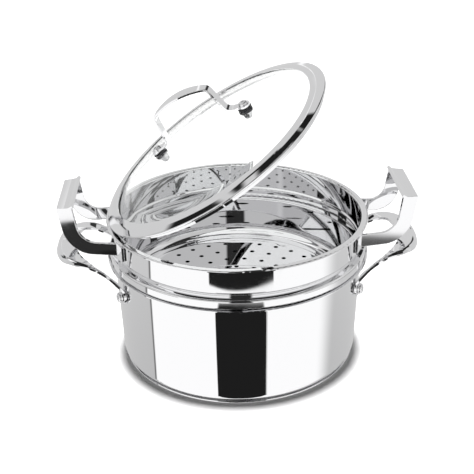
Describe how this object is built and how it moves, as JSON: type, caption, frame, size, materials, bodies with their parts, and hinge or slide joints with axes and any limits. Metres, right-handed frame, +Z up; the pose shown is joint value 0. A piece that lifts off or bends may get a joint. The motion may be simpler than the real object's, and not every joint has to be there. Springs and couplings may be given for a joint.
{
  "type": "steamer pot",
  "caption": "Polished steel steamer pot: deep pot, nested perforated basket with upright strap handles, and a domed glass lid with a steel band tipped up on the rim.",
  "frame": {"origin": "centre of the underside of the base, on the surface that the pot stands on", "axes": "+Z up through the pot's mouth, X through the handles, -Y towards the pictured front"},
  "size_m": [0.3536, 0.2552, 0.2803],
  "materials": {
    "steel": "mirror-polished stainless steel",
    "heat_disc": "plain aluminium",
    "fastener": "polished stainless steel",
    "gasket": "dark silicone",
    "lid_glass": "clear tempered glass"
  },
  "bodies": {
    "pot": {"pot_shell": "steel", "base_core": "heat_disc", "base_cap": "steel", "pot_handle_right": "steel", "pot_handle_left": "steel", "pot_rivets_right": "fastener", "pot_rivets_left": "fastener"},
    "basket": {"basket_shell": "steel", "basket_handle_right": "steel", "basket_handle_left": "steel"},
    "lid": {"lid_rim": "steel", "lid_glass": "lid_glass", "lid_handle": "steel", "lid_screws": "fastener", "lid_outer_gaskets": "gasket", "lid_inner_gaskets": "gasket", "lid_washers": "fastener", "lid_cap_nuts": "fastener", "vent_eyelet": "steel", "vent_seal": "gasket"}
  },
  "joints": [
    {"name": "basket_lift", "type": "slide", "parent": "pot", "child": "basket", "axis": [0, 0, 1], "range_m": [0, 0.12]},
    {"name": "lid_tilt", "type": "hinge", "parent": "basket", "child": "lid", "pos_m": [-0.12259, -0.01224, 0.1459], "axis": [0.0993, -0.9951, 0], "range_deg": [-33.2, 45]}
  ]
}
